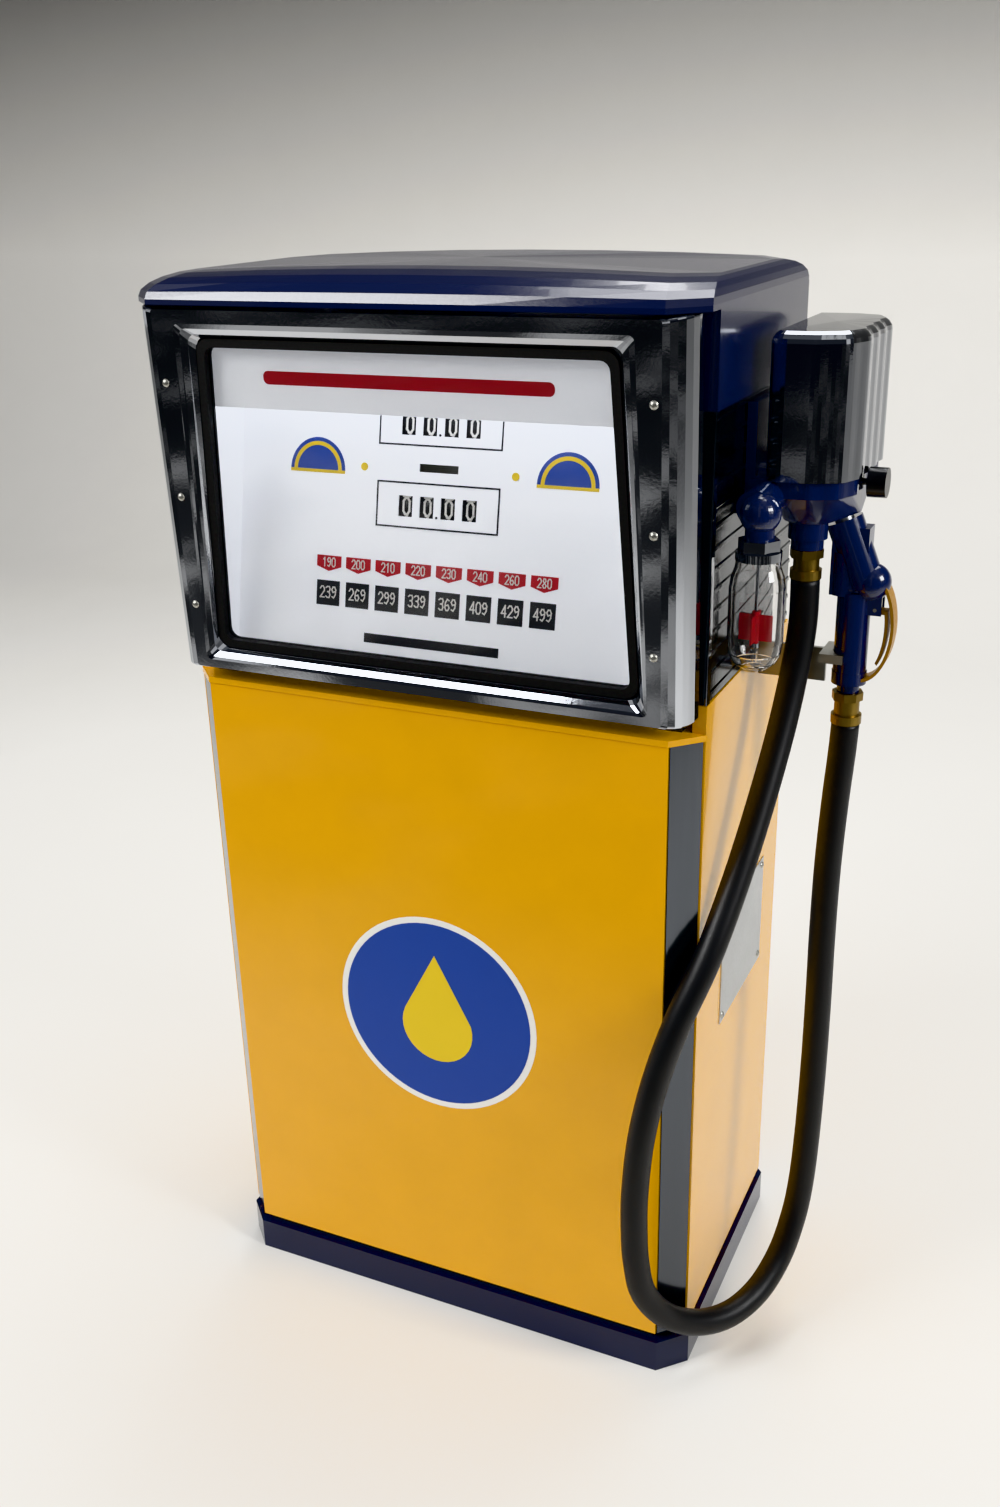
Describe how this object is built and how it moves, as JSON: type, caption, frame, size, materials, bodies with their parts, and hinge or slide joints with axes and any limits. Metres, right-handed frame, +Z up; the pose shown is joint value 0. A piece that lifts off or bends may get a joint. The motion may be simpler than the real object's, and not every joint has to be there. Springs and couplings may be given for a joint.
{
  "type": "gas pump",
  "caption": "Free-standing blending gas pump with a lit dial and counter wheels, a hung nozzle on a swivel hose, a sight glass, an on-off lever and the works inside its cabinet.",
  "frame": {"origin": "middle of the cabinet's footprint, on the floor", "axes": "+X to the pump's right as the customer sees it from the dial side (the hose side), +Y from the dial to the back, +Z up"},
  "size_m": [0.899, 0.5169, 1.486],
  "materials": {
    "yellow_paint": "gloss enamel",
    "navy_paint": "gloss enamel",
    "nozzle_paint": "gloss enamel",
    "polished_steel": "polished stainless steel",
    "chrome_plate": "chrome plate",
    "frame_steel": "satin primer",
    "zinc_steel": "zinc-plated steel",
    "rubber_seal": "matt",
    "hose_rubber": "satin",
    "belt_rubber": "matt",
    "clear_glass": "clear",
    "dial_white": "white acrylic lit from behind",
    "lamp_white": "opal lamp",
    "wheel_black": "satin",
    "knob_black": "gloss",
    "spinner_red": "gloss",
    "brass_fitting": "worn brass",
    "spout_aluminium": "plain",
    "plate_aluminium": "anodised",
    "motor_paint": "enamel",
    "cast_iron": "machined",
    "pump_paint": "enamel",
    "pipe_steel": "galvanised"
  },
  "bodies": {
    "cabinet": {"base_plinth": "navy_paint", "base_pan": "frame_steel", "uprights": "frame_steel", "front_panel": "yellow_paint", "rear_panel": "yellow_paint", "side_panel_right": "yellow_paint", "side_panel_left": "yellow_paint", "corner_strips": "polished_steel", "cabinet_ledges": "yellow_paint", "head_frame": "frame_steel", "bezel": "chrome_plate", "glass_gasket": "rubber_seal", "dial_glass": "clear_glass", "dial_plate": "dial_white", "head_side_right": "polished_steel", "head_side_left": "polished_steel", "head_rear_panel": "navy_paint", "head_trims": "polished_steel", "roof_cap": "navy_paint", "lamp_tube": "lamp_white", "lamp_holders": "lamp_white", "computer_frame": "zinc_steel", "counter_shafts": "zinc_steel", "outlet_casting": "navy_paint", "outlet_canopy": "chrome_plate", "sight_glass_nut": "chrome_plate", "sight_glass": "clear_glass", "outlet_fitting": "brass_fitting", "hose": "hose_rubber", "nozzle_bracket": "zinc_steel", "switch_boss": "chrome_plate", "label_plate": "plate_aluminium", "screws": "zinc_steel", "motor": "motor_paint", "drive_belt": "belt_rubber", "pump_unit": "pump_paint", "flow_meters": "cast_iron", "pipework": "pipe_steel", "junction_box": "motor_paint"},
    "nozzle": {"nozzle_body": "nozzle_paint", "nozzle_spout": "spout_aluminium", "nozzle_guard": "nozzle_paint", "lever_pin": "zinc_steel"},
    "nozzle_trigger": {"nozzle_lever": "brass_fitting"},
    "hose_swivel": {"nozzle_swivel": "brass_fitting"},
    "spinner": {"sight_spinner": "spinner_red"},
    "switch": {"switch_lever": "chrome_plate"},
    "selector": {"selector_knob": "knob_black"},
    "lock": {"panel_lock": "chrome_plate"},
    "register_drive": {"drive_shaft": "zinc_steel"},
    "motor_sheave": {"motor_pulley": "cast_iron"},
    "pump_sheave": {"pump_pulley": "cast_iron"},
    "sale_digit_1": {"sale_wheel_1": "wheel_black"},
    "sale_digit_2": {"sale_wheel_2": "wheel_black"},
    "sale_digit_3": {"sale_wheel_3": "wheel_black"},
    "sale_digit_4": {"sale_wheel_4": "wheel_black"},
    "gallons_digit_1": {"gallons_wheel_1": "wheel_black"},
    "gallons_digit_2": {"gallons_wheel_2": "wheel_black"},
    "gallons_digit_3": {"gallons_wheel_3": "wheel_black"},
    "gallons_digit_4": {"gallons_wheel_4": "wheel_black"}
  },
  "joints": [
    {"name": "nozzle_lift_off", "type": "slide", "parent": "cabinet", "child": "nozzle", "axis": [0.3746, 0, -0.9272], "range_m": [0, 0.15], "deforming": ["hose"]},
    {"name": "nozzle_lever_squeeze", "type": "hinge", "parent": "nozzle", "child": "nozzle_trigger", "pos_m": [0.508, 0.03, 1.07], "axis": [0, 1, 0], "range_deg": [0, 8], "stiffness_Nm_per_rad": 6, "springref_deg": -5.73},
    {"name": "hose_swivel_turn", "type": "hinge", "parent": "nozzle", "child": "hose_swivel", "pos_m": [0.48, 0.03, 0.93], "axis": [0, 0, 1], "range_deg": [-90, 90]},
    {"name": "sight_spinner_spin", "type": "hinge", "parent": "cabinet", "child": "spinner", "pos_m": [0.398, -0.13, 1.08], "axis": [0, 0, 1], "continuous": true},
    {"name": "switch_lever_turn", "type": "hinge", "parent": "cabinet", "child": "switch", "pos_m": [0.376, -0.04, 1.052], "axis": [1, 0, 0], "range_deg": [0, 90]},
    {"name": "selector_knob_turn", "type": "hinge", "parent": "cabinet", "child": "selector", "pos_m": [0.49, 0.008, 1.231], "axis": [1, 0, 0], "range_deg": [0, 315]},
    {"name": "panel_lock_turn", "type": "hinge", "parent": "cabinet", "child": "lock", "pos_m": [0, 0.225, 0.891], "axis": [0, 1, 0], "range_deg": [0, 90]},
    {"name": "register_drive_spin", "type": "hinge", "parent": "cabinet", "child": "register_drive", "pos_m": [0, -0.08, 0.8], "axis": [0, 0, 1], "continuous": true},
    {"name": "sale_digit_1_turn", "type": "hinge", "parent": "cabinet", "child": "sale_digit_1", "pos_m": [0.04425, -0.10707, 1.29036], "axis": [1, 0, 0], "continuous": true},
    {"name": "sale_digit_2_turn", "type": "hinge", "parent": "cabinet", "child": "sale_digit_2", "pos_m": [0.01475, -0.10707, 1.29036], "axis": [1, 0, 0], "continuous": true},
    {"name": "sale_digit_3_turn", "type": "hinge", "parent": "cabinet", "child": "sale_digit_3", "pos_m": [-0.01475, -0.10707, 1.29036], "axis": [1, 0, 0], "continuous": true},
    {"name": "sale_digit_4_turn", "type": "hinge", "parent": "cabinet", "child": "sale_digit_4", "pos_m": [-0.04425, -0.10707, 1.29036], "axis": [1, 0, 0], "continuous": true},
    {"name": "gallons_digit_1_turn", "type": "hinge", "parent": "cabinet", "child": "gallons_digit_1", "pos_m": [0.04425, -0.12683, 1.19233], "axis": [1, 0, 0], "continuous": true},
    {"name": "gallons_digit_2_turn", "type": "hinge", "parent": "cabinet", "child": "gallons_digit_2", "pos_m": [0.01475, -0.12683, 1.19233], "axis": [1, 0, 0], "continuous": true},
    {"name": "gallons_digit_3_turn", "type": "hinge", "parent": "cabinet", "child": "gallons_digit_3", "pos_m": [-0.01475, -0.12683, 1.19233], "axis": [1, 0, 0], "continuous": true},
    {"name": "gallons_digit_4_turn", "type": "hinge", "parent": "cabinet", "child": "gallons_digit_4", "pos_m": [-0.04425, -0.12683, 1.19233], "axis": [1, 0, 0], "continuous": true},
    {"name": "motor_pulley_spin", "type": "hinge", "parent": "cabinet", "child": "motor_sheave", "pos_m": [-0.165, -0.115, 0.19], "axis": [0, 1, 0], "continuous": true},
    {"name": "pump_pulley_spin", "type": "hinge", "parent": "cabinet", "child": "pump_sheave", "pos_m": [0.13, -0.115, 0.205], "axis": [0, 1, 0], "continuous": true}
  ],
  "couplings": [
    {"joint": "sale_digit_1_turn", "follows": "register_drive_spin", "ratio": 1},
    {"joint": "sale_digit_2_turn", "follows": "register_drive_spin", "ratio": 0.1},
    {"joint": "sale_digit_3_turn", "follows": "register_drive_spin", "ratio": 0.01},
    {"joint": "sale_digit_4_turn", "follows": "register_drive_spin", "ratio": 0.001},
    {"joint": "gallons_digit_1_turn", "follows": "register_drive_spin", "ratio": 0.2},
    {"joint": "gallons_digit_2_turn", "follows": "register_drive_spin", "ratio": 0.02},
    {"joint": "gallons_digit_3_turn", "follows": "register_drive_spin", "ratio": 0.002},
    {"joint": "gallons_digit_4_turn", "follows": "register_drive_spin", "ratio": 0.0002},
    {"joint": "pump_pulley_spin", "follows": "motor_pulley_spin", "ratio": 0.5}
  ]
}
